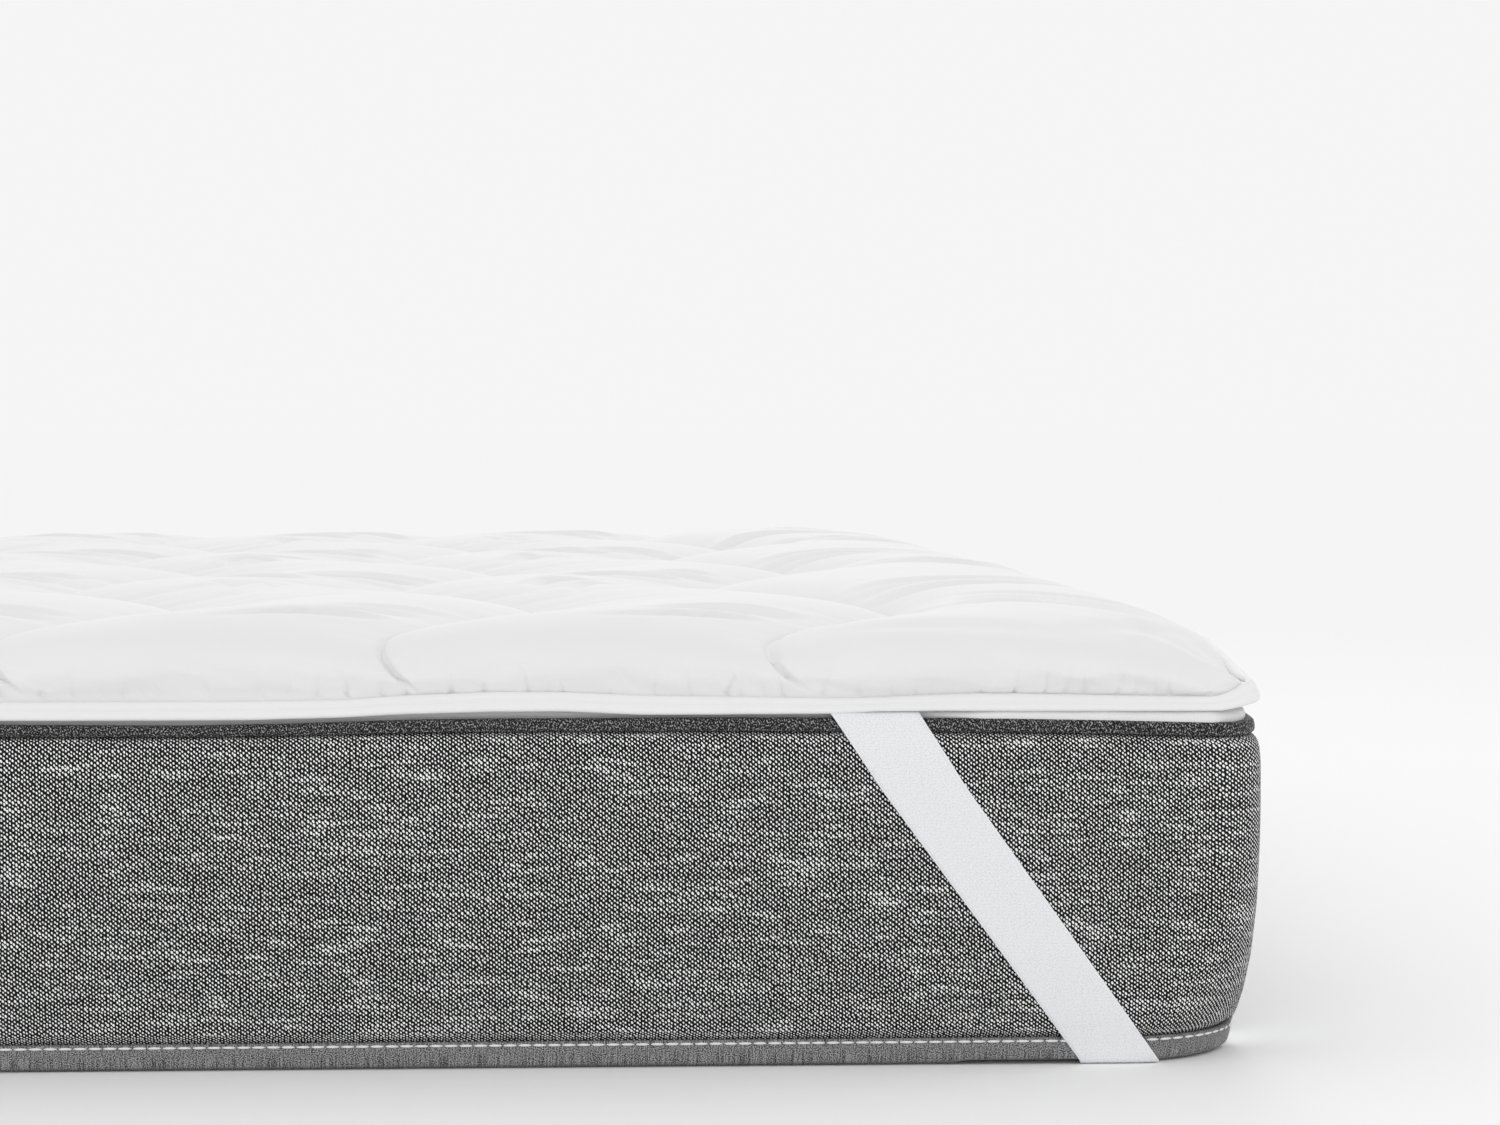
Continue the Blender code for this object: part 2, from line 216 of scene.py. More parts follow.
# Border: heavy jacquard of white slub yarn over black, woven in staggered
# leaning floats, each 1.1 by 1.8 mm, 4.1 mm apart in rows 1.64 mm apart, with
# uneven bright and dark picks.
def heather_jacquard():
    mat, tree, shader = new_material("heather_jacquard", 0.90, 0.05)
    cloth = tree.nodes.new("ShaderNodeUVMap").outputs["UV"]
    eighth_turn = 0.25 * math.pi
    fray = node(tree, "TexNoise", [("Vector", cloth)], [("Scale", 620.0), ("Detail", 0.0)])
    # a square lattice stood on its corner puts the floats in staggered rows
    lattice = node(tree, "Mapping", [("Vector", cloth)],
                   [("Scale", (math.sqrt(2.0) / FLOAT_PITCH, math.sqrt(2.0) / ROW_PAIR, 1.0)),
                    ("Rotation", (0.0, 0.0, -eighth_turn))])
    floats = node(tree, "TexVoronoi", [("Vector", lattice)],
                  [("Scale", 1.0), ("Randomness", 0.26)],
                  voronoi_dimensions="2D").node.outputs["Position"]
    # each pick of yarn is one row, thick or thin over some 15 to 25 floats
    centre = node(tree, "Mapping", [("Vector", floats)],
                  [("Rotation", (0.0, 0.0, eighth_turn)), ("Location", (0.0, 0.3536, 0.0))])
    pick = node(tree, "VectorMath", [(0, centre)], [(1, (0.001, 0.7071, 1.0))], operation="SNAP")
    along_pick = node(tree, "Mapping", [("Vector", pick)], [("Scale", (0.08, 4.9, 1.0))])
    slub = node(tree, "TexNoise", [("Vector", along_pick)],
                [("Scale", 1.0), ("Detail", 1.5), ("Roughness", 0.6)])
    # each float is a leaning oval round its place, measured in millimetres
    off = node(tree, "VectorMath", [(0, lattice), (1, floats)], operation="SUBTRACT")
    upright = node(tree, "Mapping", [("Vector", off)], [("Rotation", (0.0, 0.0, eighth_turn))])
    lean = node(tree, "Mapping", [("Vector", upright)],
                [("Scale", (2.90, 2.31, 1.0)), ("Rotation", (0.0, 0.0, -0.45))])
    rim, half_wide, half_tall = 0.29, 0.57, 0.88
    oval = node(tree, "Mapping", [("Vector", lean)],
                [("Scale", (rim / half_wide, rim / half_tall, 1.0))])
    reach = node(tree, "VectorMath", [(0, oval)], operation="LENGTH").node.outputs["Value"]
    thick = node(tree, "MapRange", [("Value", slub)],
                 [("From Min", 0.56), ("From Max", 0.66), ("To Min", 0.0), ("To Max", -0.12)])
    thin = node(tree, "MapRange", [("Value", slub)],
                [("From Min", 0.30), ("From Max", 0.45), ("To Min", 0.05), ("To Max", 0.0)])
    picks = node(tree, "Math", [(0, thick), (1, thin)], operation="ADD")
    edge = node(tree, "Math", [(0, reach), (1, picks)], operation="ADD")
    frayed = node(tree, "MapRange", [("Value", fray)],
                  [("From Min", 0.25), ("From Max", 0.75), ("To Min", -0.045), ("To Max", 0.045)])
    shape = node(tree, "Math", [(0, edge), (1, frayed)], operation="ADD")
    tone = node(tree, "ValToRGB", [("Fac", shape)])
    ramp = tone.node.color_ramp
    ramp.elements[0].position = 0.25
    ramp.elements[0].color = linear("#f7f7f7")
    ramp.elements[1].position = 0.33
    ramp.elements[1].color = linear("#080808")
    sunk = node(tree, "MapRange", [("Value", shape)],
                [("From Min", 0.2), ("From Max", 0.6), ("To Min", 1.0), ("To Max", 0.0)])
    bump = node(tree, "Bump", [("Height", sunk)], [("Strength", 0.5), ("Distance", 0.0006)])
    link(tree, shader, [("Base Color", tone), ("Normal", bump)])
    return mat


# Top tape: charcoal cotton twill, black and grey threads 0.5 mm wide that mix
# to pepper and salt. Their specks are drawn 1.1 by 1.4 mm so that they show.
def charcoal_twill():
    mat, tree, shader = new_material("charcoal_twill", 0.75, 0.10)
    cloth = tree.nodes.new("ShaderNodeUVMap").outputs["UV"]
    slanted = node(tree, "Mapping", [("Vector", cloth)],
                   [("Rotation", (0.0, 0.0, 0.75)), ("Scale", (900.0, 700.0, 1.0))])
    pepper = node(tree, "TexNoise", [("Vector", slanted)], [("Scale", 1.0), ("Detail", 1.0)])
    tone = node(tree, "ValToRGB", [("Fac", pepper)])
    ramp = tone.node.color_ramp
    ramp.elements[0].position = 0.52
    ramp.elements[0].color = linear("#0a0a0b")
    ramp.elements[1].position = 0.68
    ramp.elements[1].color = linear("#a8a8aa")
    bump = node(tree, "Bump", [("Height", pepper)], [("Strength", 0.5), ("Distance", 0.0004)])
    link(tree, shader, [("Base Color", tone), ("Normal", bump)])
    return mat


# Bottom tape: grey plain-woven cotton with slubs in its short threads, which
# stand 0.8 mm apart.
def grey_plain_weave():
    mat, tree, shader = new_material("grey_plain_weave", 0.80, 0.10)
    cloth = tree.nodes.new("ShaderNodeUVMap").outputs["UV"]
    short = node(tree, "Mapping", [("Vector", cloth)], [("Scale", (1300.0, 60.0, 1.0))])
    slub = node(tree, "TexNoise", [("Vector", short)], [("Scale", 1.0), ("Detail", 0.0)])
    grain = node(tree, "TexNoise", [("Vector", cloth)], [("Scale", 1200.0), ("Detail", 0.0)])
    weak = node(tree, "Math", [(0, slub)], [(1, 0.45)], operation="MULTIPLY")
    both = node(tree, "Math", [(0, weak), (1, grain)], operation="ADD")
    half = node(tree, "Math", [(0, both)], [(1, 0.69)], operation="MULTIPLY")
    tone = node(tree, "ValToRGB", [("Fac", half)])
    ramp = tone.node.color_ramp
    ramp.elements[0].position = 0.38
    ramp.elements[0].color = linear("#262627")
    ramp.elements[1].position = 0.64
    ramp.elements[1].color = linear("#a8a8a9")
    bump = node(tree, "Bump", [("Height", half)], [("Strength", 0.5), ("Distance", 0.0004)])
    link(tree, shader, [("Base Color", tone), ("Normal", bump)])
    return mat


# Straps: white woven elastic, satin, its knots 1.25 mm apart both ways and a
# smooth bright selvedge 1.2 mm wide down each edge.
def woven_elastic():
    mat, tree, shader = new_material("white_woven_elastic", 0.60, 0.10)
    cloth = tree.nodes.new("ShaderNodeUVMap").outputs["UV"]
    grid = node(tree, "Mapping", [("Vector", cloth)], [("Scale", (800.0, 800.0, 1.0))])
    knots = node(tree, "TexVoronoi", [("Vector", grid)], [("Scale", 1.0), ("Randomness", 0.45)],
                 voronoi_dimensions="2D")
    across = node(tree, "SeparateXYZ", [("Vector", cloth)])
    middle = node(tree, "Math", [(0, across)], [(1, 0.5 * STRAP_WIDTH)], operation="SUBTRACT")
    outward = node(tree, "Math", [(0, middle)], operation="ABSOLUTE")
    selvedge = node(tree, "Math", [(0, outward)], [(1, 0.5 * STRAP_WIDTH - 0.0012)],
                    operation="LESS_THAN")
    woven = node(tree, "Math", [(0, knots), (1, selvedge)], operation="MULTIPLY")
    tone = node(tree, "ValToRGB", [("Fac", woven)])
    ramp = tone.node.color_ramp
    ramp.elements[0].position = 0.10
    ramp.elements[0].color = linear("#f6f7f9")
    ramp.elements[1].position = 0.70
    ramp.elements[1].color = linear("#dcdde0")
    bump = node(tree, "Bump", [("Height", woven)], [("Strength", 0.35), ("Distance", 0.0003)],
                invert=True)
    link(tree, shader, [("Base Color", tone), ("Normal", bump)])
    return mat


# Mattress panel: white circular knit, soft and matt, its loops 1.5 mm apart.
def white_knit():
    mat, tree, shader = new_material("white_circular_knit", 0.90, 0.20)
    cloth = tree.nodes.new("ShaderNodeTexCoord").outputs["Object"]
    loops = node(tree, "TexVoronoi", [("Vector", cloth)], [("Scale", 650.0), ("Randomness", 0.35)])
    tone = node(tree, "ValToRGB", [("Fac", loops)])
    ramp = tone.node.color_ramp
    ramp.elements[0].color = linear("#eeeeee")
    ramp.elements[1].color = linear("#e2e2e2")
    bump = node(tree, "Bump", [("Height", loops)], [("Strength", 0.3), ("Distance", 0.0004)],
                invert=True)
    link(tree, shader, [("Base Color", tone), ("Normal", bump)])
    return mat


# Lockstitch: white spun polyester thread, slightly glossy, drawn from its
# fine lengthwise fibres.
def spun_thread():
    mat, tree, shader = new_material("white_spun_thread", 0.55, 0.05)
    place = tree.nodes.new("ShaderNodeTexCoord").outputs["Object"]
    fibre = node(tree, "TexNoise", [("Vector", place)], [("Scale", 1500.0), ("Detail", 1.0)])
    tone = node(tree, "ValToRGB", [("Fac", fibre)])
    ramp = tone.node.color_ramp
    ramp.elements[0].color = linear("#e6e6e4")
    ramp.elements[1].color = linear("#fafafa")
    bump = node(tree, "Bump", [("Height", fibre)], [("Strength", 0.3), ("Distance", 0.0001)])
    link(tree, shader, [("Base Color", tone), ("Normal", bump)])
    return mat


# ---- shapes ----

def corner_radius(z):
    """Plan radius of the mattress corner at a height."""
    return np.interp(z, CORNER_Z, CORNER_PLAN)


def ring(half_x, half_y, radius, out, across=150, along=180, turn=12):
    """Rounded rectangle as places, outward normals and distances round it.

    It starts at the left end of the front side, runs counter-clockwise and
    ends where it started.
    """
    places = []
    normals = []
    sides = (
        ((-half_x + radius, -half_y), (half_x - radius, -half_y), (0, -1), across, -90.0),
        ((half_x, -half_y + radius), (half_x, half_y - radius), (1, 0), along, 0.0),
        ((half_x - radius, half_y), (-half_x + radius, half_y), (0, 1), across, 90.0),
        ((-half_x, half_y - radius), (-half_x, -half_y + radius), (-1, 0), along, 180.0),
    )
    for a, b, normal, count, start in sides:
        share = np.arange(count)[:, None] / count
        places.append(np.array(a) + (np.array(b) - np.array(a)) * share)
        normals.append(np.tile(np.array(normal, dtype=float), (count, 1)))
        angles = np.radians(start + 90.0 * np.arange(turn) / turn)
        spin = np.stack([np.cos(angles), np.sin(angles)], axis=1)
        centre = np.array(b) - radius * np.array(normal)
        places.append(centre + radius * spin)
        normals.append(spin)
    places = np.concatenate([*places, places[0][:1]])
    normals = np.concatenate([*normals, normals[0][:1]])
    steps = np.linalg.norm(np.diff(places, axis=0), axis=1)
    distance = np.concatenate([[0.0], np.cumsum(steps)])
    return places + normals * out, normals, distance


def length_along(rows):
    """Mean distance over the cloth from the first row of a grid to each row."""
    steps = np.linalg.norm(np.diff(rows, axis=0), axis=2).mean(axis=1)
    return np.concatenate([[0.0], np.cumsum(steps)])


def cloth_round(radius, across=150, along=180, turn=12):
    """Distance along the cloth at each place of a ring, straight on the sides
    and taken up in the corners, so that a weave stays upright."""
    turned = 0.5 * math.pi * CORNER_R
    middles = []
    place = 0.0
    for half in (HALF_X, HALF_Y, HALF_X, HALF_Y, HALF_X):
        middles.append(place + half - CORNER_R)
        place += 2.0 * (half - CORNER_R) + turned
    around = []
    sides = ((HALF_X, across), (HALF_Y, along), (HALF_X, across), (HALF_Y, along))
    for k, (half, count) in enumerate(sides):
        a = middles[k] - (half - radius)
        b = middles[k] + (half - radius)
        following = HALF_Y if k % 2 == 0 else HALF_X
        c = middles[k + 1] - (following - radius)
        around.append(a + (b - a) * np.arange(count) / count)
        around.append(b + (c - b) * np.arange(turn) / turn)
    return np.concatenate([*around, [middles[4] - (HALF_X - radius)]])


def band(profile):
    """Rows of a cloth ring: one ring of points for each (out, height)."""
    rows = []
    around = []
    for out, z in profile:
        plan = float(corner_radius(np.mean(z)))
        places, normals, _ = ring(HALF_X, HALF_Y, plan, 0.0)
        places = places + normals * np.broadcast_to(out, len(places))[:, None]
        rows.append(np.column_stack([places, np.broadcast_to(z, len(places))]))
        around.append(cloth_round(plan))
    rows = np.array(rows)
    across = length_along(rows)
    return rows, (np.array(around), np.repeat(across[:, None], rows.shape[1], axis=1))


def from_grid(name, points, uv, merge=False, cap=False):
    """A grid of cloth whose vertices are set to points[row, column]."""
    rows, columns = points.shape[:2]
    bm = bmesh.new()
    bmesh.ops.create_grid(bm, x_segments=columns - 1, y_segments=rows - 1, size=1.0)
    layer = bm.loops.layers.uv.new("cloth")
    bm.verts.index_update()
    cells = []
    for v in bm.verts:
        cells.append((round((v.co.y + 1.0) * 0.5 * (rows - 1)),
                      round((v.co.x + 1.0) * 0.5 * (columns - 1))))
    for face in bm.faces:
        for loop in face.loops:
            cell = cells[loop.vert.index]
            loop[layer].uv = (uv[0][cell], uv[1][cell])
    for v, cell in zip(bm.verts, cells):
        v.co = Vector(points[cell])
    if merge:
        bmesh.ops.remove_doubles(bm, verts=bm.verts[:], dist=0.00002)
    if cap:
        bmesh.ops.holes_fill(bm, edges=[e for e in bm.edges if e.is_boundary], sides=0)
    bmesh.ops.recalc_face_normals(bm, faces=bm.faces[:])
    return from_bmesh(name, bm)


def from_bmesh(name, bm):
    """A smooth-shaded object at the origin from a finished bmesh."""
    mesh = bpy.data.meshes.new(name)
    bm.to_mesh(mesh)
    bm.free()
    obj = bpy.data.objects.new(name, mesh)
    bpy.context.scene.collection.objects.link(obj)
    mesh.shade_smooth()
    return obj


def thicken(obj, thickness):
    """Give a single layer of cloth its thickness, half to each side."""
    wall = obj.modifiers.new("cloth_thickness", "SOLIDIFY")
    wall.thickness = thickness
    wall.offset = 0.0


def read_points(mesh):
    """The place of each vertex."""
    flat = np.empty(len(mesh.vertices) * 3)
    mesh.vertices.foreach_get("co", flat)
    return flat.reshape(-1, 3)


def read_cloth(mesh):
    """Each vertex's place on the flat cloth, from the UV map."""
    corner = np.empty(len(mesh.loops), dtype=np.int64)
    mesh.loops.foreach_get("vertex_index", corner)
    flat = np.empty(len(mesh.loops) * 2)
    mesh.uv_layers["cloth"].data.foreach_get("uv", flat)
    cloth = np.empty((len(mesh.vertices), 2))
    cloth[corner] = flat.reshape(-1, 2)
    return cloth


def evaluated_points(obj):
    """The place of each vertex with the modifiers at work."""
    depsgraph = bpy.context.evaluated_depsgraph_get()
    return read_points(obj.evaluated_get(depsgraph).data)


def apply_modifiers(obj):
    """Keep the shape that the modifiers give and drop them."""
    depsgraph = bpy.context.evaluated_depsgraph_get()
    mesh = bpy.data.meshes.new_from_object(obj.evaluated_get(depsgraph))
    mesh.name = obj.name
    obj.modifiers.clear()
    obj.data = mesh


def place_on(obj, mat, slot, *nodes):
    """Dress a piece, let it stand for its solids and ride on the body."""
    obj.data.materials.clear()
    obj.data.materials.append(mat)
    if nodes:
        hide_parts(*nodes)
    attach(obj, "root")


# ---- the topper ----

def seam_wave(along):
    """Sideways swing of a stitched line at a distance from the near end."""
    return -WAVE_SWING * np.cos(2.0 * math.pi * along / WAVE_LENGTH)


def lift_at(x, y):
    """Lift of the topper's edge behind the near right corner."""
    close = np.clip((x - 0.726) / 0.032, 0.0, 1.0)
    return close * close * (3.0 - 2.0 * close) * np.interp(y + TOPPER_Y, LIFT_DEPTH, LIFT)


def flare_at(x, y):
    """Angle by which the lifted edge flares out, in radians."""
    return np.radians(np.where(x > 0.0, np.interp(y + TOPPER_Y, FLARE_DEPTH, FLARE), 0.0))


def stations(half, inner):
    """Plan place, height share, distance along the cloth and pinched inset."""
    profile = np.array(EDGE_PROFILE)
    fine = np.linspace(0.0, len(profile) - 1.0, 2 * len(profile) - 1)
    coarse = np.arange(len(profile))
    profile = np.column_stack([np.interp(fine, coarse, profile[:, k]) for k in (0, 1)])
    steps = np.hypot(np.diff(profile[:, 0]), np.diff(profile[:, 1]) * 0.07)
    arcs = np.concatenate([[0.0], np.cumsum(steps)])
    flat = half - profile[-1, 0]
    edge_place = half - profile[:-1, 0]
    edge_share = profile[:-1, 1]
    edge_cloth = flat + arcs[-1] - arcs[:-1]
    place = np.concatenate([-edge_place, inner, edge_place[::-1]])
    share = np.concatenate([edge_share, np.ones(len(inner)), edge_share[::-1]])
    cloth = np.concatenate([-edge_cloth, inner, edge_cloth[::-1]])
    pinched = np.maximum(profile[:-1, 0], profile[0, 0] + 0.0010 * np.arange(len(edge_place)))
    pinch = np.concatenate([pinched, np.zeros(len(inner)), pinched[::-1]])
    return place, share, cloth, pinch


def column_places():
    """Places of the grid's columns, closer together beside each seam."""
    flat = TOPPER_X - EDGE_PROFILE[-1][0]
    stops = [-flat, *SEAMS, flat]
    places = [np.array([stops[0]])]
    for k, (a, b) in enumerate(zip(stops[:-1], stops[1:])):
        edge = k in (0, len(stops) - 2)
        count = 16 if edge else 26
        share = np.arange(1, count + 1) / count
        if not edge:
            share = share - 0.108 * np.sin(2.0 * math.pi * share)
        places.append(a + (b - a) * share)
    return np.concatenate(places)


def round_corner(x, y):
    """Bend the square corners of the grid to the topper's plan radius."""
    u = np.abs(x) - (TOPPER_X - TOPPER_R)
    v = np.abs(y) - (TOPPER_Y - TOPPER_R)
    inside = (u > 0.0) & (v > 0.0)
    reach = np.maximum(np.maximum(u, v), 1e-9)
    turn = 0.25 * math.pi * np.minimum(u, v) / reach
    long_side = reach * np.cos(turn)
    short_side = reach * np.sin(turn)
    new_u = np.where(u >= v, long_side, short_side)
    new_v = np.where(u >= v, short_side, long_side)
    new_x = np.copysign(TOPPER_X - TOPPER_R + new_u, x)
    new_y = np.copysign(TOPPER_Y - TOPPER_R + new_v, y)
    return np.where(inside, new_x, x), np.where(inside, new_y, y)


def held_in(place, half, other_share, pinch):
    """Pull an edge in where it comes down to the binding at a corner."""
    inset = half - np.abs(place)
    hold = np.minimum(1.0, (1.0 - other_share) / 0.13)
    inset = inset + hold * np.maximum(0.0, pinch - inset)
    return np.copysign(half - inset, place)


def topper_surface(pad_height):
    """Grid of the quilted top before it is filled: points, cloth, pad share."""
    rows = np.linspace(-TOPPER_Y + EDGE_PROFILE[-1][0], TOPPER_Y - EDGE_PROFILE[-1][0], 190)
    xp, xs, xc, xq = stations(TOPPER_X, column_places())
    yp, ys, yc, yq = stations(TOPPER_Y, rows)
    xp, yp2 = np.meshgrid(xp, yp)
    xq, yq = np.meshgrid(xq, yq)
    xs, ys = np.meshgrid(xs, ys)
    xc, yc = np.meshgrid(xc, yc)
    near = np.min([np.abs(xp - seam) for seam in SEAMS], axis=0)
    ahead = np.min([np.where(xp >= seam, xp - seam, 9.0) for seam in SEAMS], axis=0)
    right_of = ahead <= near + 1e-9
    steep = np.where(right_of, 0.50, 0.85)
    pad = np.sin(0.5 * math.pi * np.minimum(1.0, near / (0.5 * CHANNEL))) ** steep
    flat_x = TOPPER_X - EDGE_PROFILE[-1][0]
    flat_y = TOPPER_Y - EDGE_PROFILE[-1][0]
    weight = np.where(
        xp > SEAMS[-1],
        np.clip((flat_x - xp) / (flat_x - SEAMS[-1]), 0.0, 1.0),
        np.where(xp < SEAMS[0], np.clip((flat_x + xp) / (flat_x + SEAMS[0]), 0.0, 1.0), 1.0),
    )
    over = np.maximum(0.0, np.abs(yc) - flat_y)
    arc = over.max()
    rim = HALF_Y - flat_y
    beyond = np.interp(over, (0.0, 0.58 * arc, arc), (0.0, rim, rim + 0.115))
    along = np.copysign(np.minimum(np.abs(yc), flat_y) + beyond, yc) + HALF_Y
    x = held_in(xp, TOPPER_X, ys, xq) + seam_wave(along) * weight
    y = held_in(yp2, TOPPER_Y, xs, yq)
    pull = 0.007 * (1.0 - pad) * np.sin(math.pi * np.clip((ys - 0.22) / 0.78, 0.0, 1.0))
    y = y - np.copysign(pull, yp2)
    both = xs + ys - xs * ys
    share = np.where(both > 0.0, xs * ys / np.maximum(both, 1e-9), 0.0)
    from_corner = np.hypot(TOPPER_X - np.abs(x), TOPPER_Y - np.abs(y))
    taper = 1.0 - 0.42 * np.exp(-from_corner / 0.16)
    lift = lift_at(x, y)
    z = TOPPER_LOW + SEAM_H * share * taper + pad_height * pad * share ** 1.5
    z = z + lift * np.clip(1.0 - share / 0.85, 0.0, 1.0)
    far = np.clip((y + TOPPER_Y) / (2.0 * TOPPER_Y), 0.0, 1.0)
    sag = far * np.clip((0.60 - x) / 0.55, 0.0, 1.0)
    z = z - 0.0085 * sag * pad * share - (0.002 + 0.006 * far) * (1.0 - pad) * share
    x = x - 0.0095 * np.sin(flare_at(x, y)) * np.clip(1.8 * (1.0 - xs), 0.0, 1.0)
    brow = np.interp(xp, (0.44, 0.62, 0.70, 0.76), (0.0, 1.0, 1.0, 0.0)) * (yp2 < 0.0)
    bulge = np.sin(math.pi * np.clip((ys - 0.22) / 0.70, 0.0, 1.0))
    y = y - (0.0040 + 0.0085 * brow) * (yp2 < 0.0) * bulge
    x, y = round_corner(x, y)
    return np.stack([x, y, z], axis=-1), xc, yc, near, share


def fill_with_air(obj, held, pressure, stretch, frames, cap):
    """Cloth simulation with its seams held: the pads swell between them."""
    scene = bpy.context.scene
    start = evaluated_points(obj).copy()
    group = obj.vertex_groups.new(name="stitched")
    for index in np.nonzero(held)[0]:
        group.add([int(index)], 1.0, "REPLACE")
    cloth = obj.modifiers.new("filling", "CLOTH")
    cloth.settings.vertex_group_mass = "stitched"
    cloth.settings.quality = 4
    cloth.settings.mass = 0.3
    cloth.settings.tension_stiffness = 15.0
    cloth.settings.compression_stiffness = 15.0
    cloth.settings.shear_stiffness = 5.0
    cloth.settings.bending_stiffness = 0.6
    cloth.settings.use_pressure = True
    cloth.settings.uniform_pressure_force = pressure
    cloth.settings.shrink_min = -stretch
    cloth.settings.effector_weights.gravity = 0.0
    cloth.collision_settings.use_collision = False
    cloth.point_cache.frame_start = 1
    cloth.point_cache.frame_end = frames
    for number in range(1, frames + 1):
        scene.frame_set(number)
    moved = evaluated_points(obj) - start
    size = np.linalg.norm(moved, axis=1, keepdims=True)
    moved *= cap * np.tanh(size / cap) / np.maximum(size, 1e-9)
    obj.modifiers.clear()
    scene.frame_set(1)
    obj.data.vertices.foreach_set("co", (start + moved).ravel())
    obj.data.update()


def fold_lines():
    """Creases across each pad, gathered towards the next seam's turn: start,
    end, bow, width, depth and where along it each is deepest."""
    rng = np.random.default_rng(11)
    uneven = np.random.default_rng(5)
    lines = []
    edge = TOPPER_X - 0.030
    for n in range(4):
        notch = (n + 0.5) * WAVE_LENGTH - HALF_Y
        turn = n * WAVE_LENGTH - HALF_Y
        for k in range(-1, len(SEAMS)):
            if k < 0:
                spans = [((-edge, turn + 0.07), (SEAMS[0] - WAVE_SWING, turn)),
                         ((-edge, turn + 0.36), (SEAMS[0] - 0.02, turn + 0.16))]
                peak = 1.0
            elif k + 1 < len(SEAMS):
                right = SEAMS[k + 1] - WAVE_SWING
                spans = [((right - 0.085, turn + 0.100), (right + 0.036, turn + 0.135)),
                         ((SEAMS[k] + WAVE_SWING + 0.02, notch + 0.13),
                          (right, turn + WAVE_LENGTH - 0.035))]
                peak = 1.5
            else:
                spans = [((SEAMS[k] + WAVE_SWING + 0.01, notch - 0.01), (edge, notch - 0.155)),
                         ((SEAMS[k] + 0.02, notch + 0.10), (edge, notch + 0.16))]
                peak = 0.85
            for start, end in spans:
                for m in (-1, 0, 1):
                    a = np.array(start) + rng.normal(0.0, 0.005, 2) + (0.010 * m, 0.030 * m)
                    b = np.array(end) + rng.normal(0.0, 0.004, 2) + (0.004 * m, 0.022 * m)
                    bow = rng.normal(0.014, 0.008)
                    if n > 0:
                        a = a + uneven.normal(0.0, 0.014, 2)
                        b = a + (b - a) * uneven.uniform(0.55, 1.15)
                    width = rng.uniform(0.0050, 0.0075)
                    depth = rng.uniform(0.0030, 0.0052)
                    lines.append((a, b, bow, width, depth, peak))
    # two soft folds along the pad at the near right corner
    lines.append((np.array((0.640, -0.985)), np.array((0.744, -0.905)), 0.004, 0.0120, 0.0026, 1.0))
    lines.append((np.array((0.500, -0.975)), np.array((0.640, -0.988)), 0.010, 0.0110, 0.0020, 1.0))
    return lines


def creases(cloth):
    """How far the creases sink the cloth at each place on it."""
    sunk = np.zeros(len(cloth))
    for a, b, bow, width, depth, peak in fold_lines():
        run = b - a
        size = np.linalg.norm(run)
        run = run / size
        near = np.abs(cloth - 0.5 * (a + b)).max(axis=1) < 0.6 * size + 0.05
        off = cloth[near] - a
        t = np.clip((off @ run) / size, 0.0, 1.0)
        side = off @ np.array([-run[1], run[0]]) - bow * 4.0 * t * (1.0 - t)
        window = np.sin(math.pi * t ** peak) ** 0.9
        raised = np.exp(-((side - 2.2 * width) / (1.5 * width)) ** 2)
        dent = np.exp(-(side / width) ** 2) - 0.55 * raised
        sunk[near] += depth * window * dent
    return sunk


def puckers(around, height, spacing, seed):
    """Small gathers just above the binding."""
    rng = np.random.default_rng(seed)
    total = around.max()
    sunk = np.zeros(len(around))
    place = 0.02
    while place < total:
        width = rng.uniform(0.0013, 0.0024)
        tall = rng.uniform(0.008, 0.026)
        deep = rng.uniform(0.0008, 0.0022)
        near = np.abs(around - place) < 4.0 * width
        slant = (around[near] - place - rng.normal(0.0, 0.22) * height[near]) / width
        fading = np.clip(1.0 - height[near] / tall, 0.0, 1.0) ** 0.7
        sunk[near] += deep * np.exp(-slant ** 2) * fading
        place += spacing * rng.uniform(0.4, 1.8)
    return sunk


def low_on_edge(place):
    """Just above the binding, where the cloth is gathered."""
    outside = max(abs(place.x) - TOPPER_X, abs(place.y) - TOPPER_Y)
    return outside > -0.022 and place.z < 0.292


def share_of(obj, points, share):
    """Height share of each vertex, found again by its place in the grid."""
    flat = points.reshape(-1, 3)
    mine = read_points(obj.data)
    order = np.lexsort(np.round(flat, 6).T)
    back = np.lexsort(np.round(mine, 6).T)
    found = np.empty(len(mine))
    found[back] = share.ravel()[order]
    return found


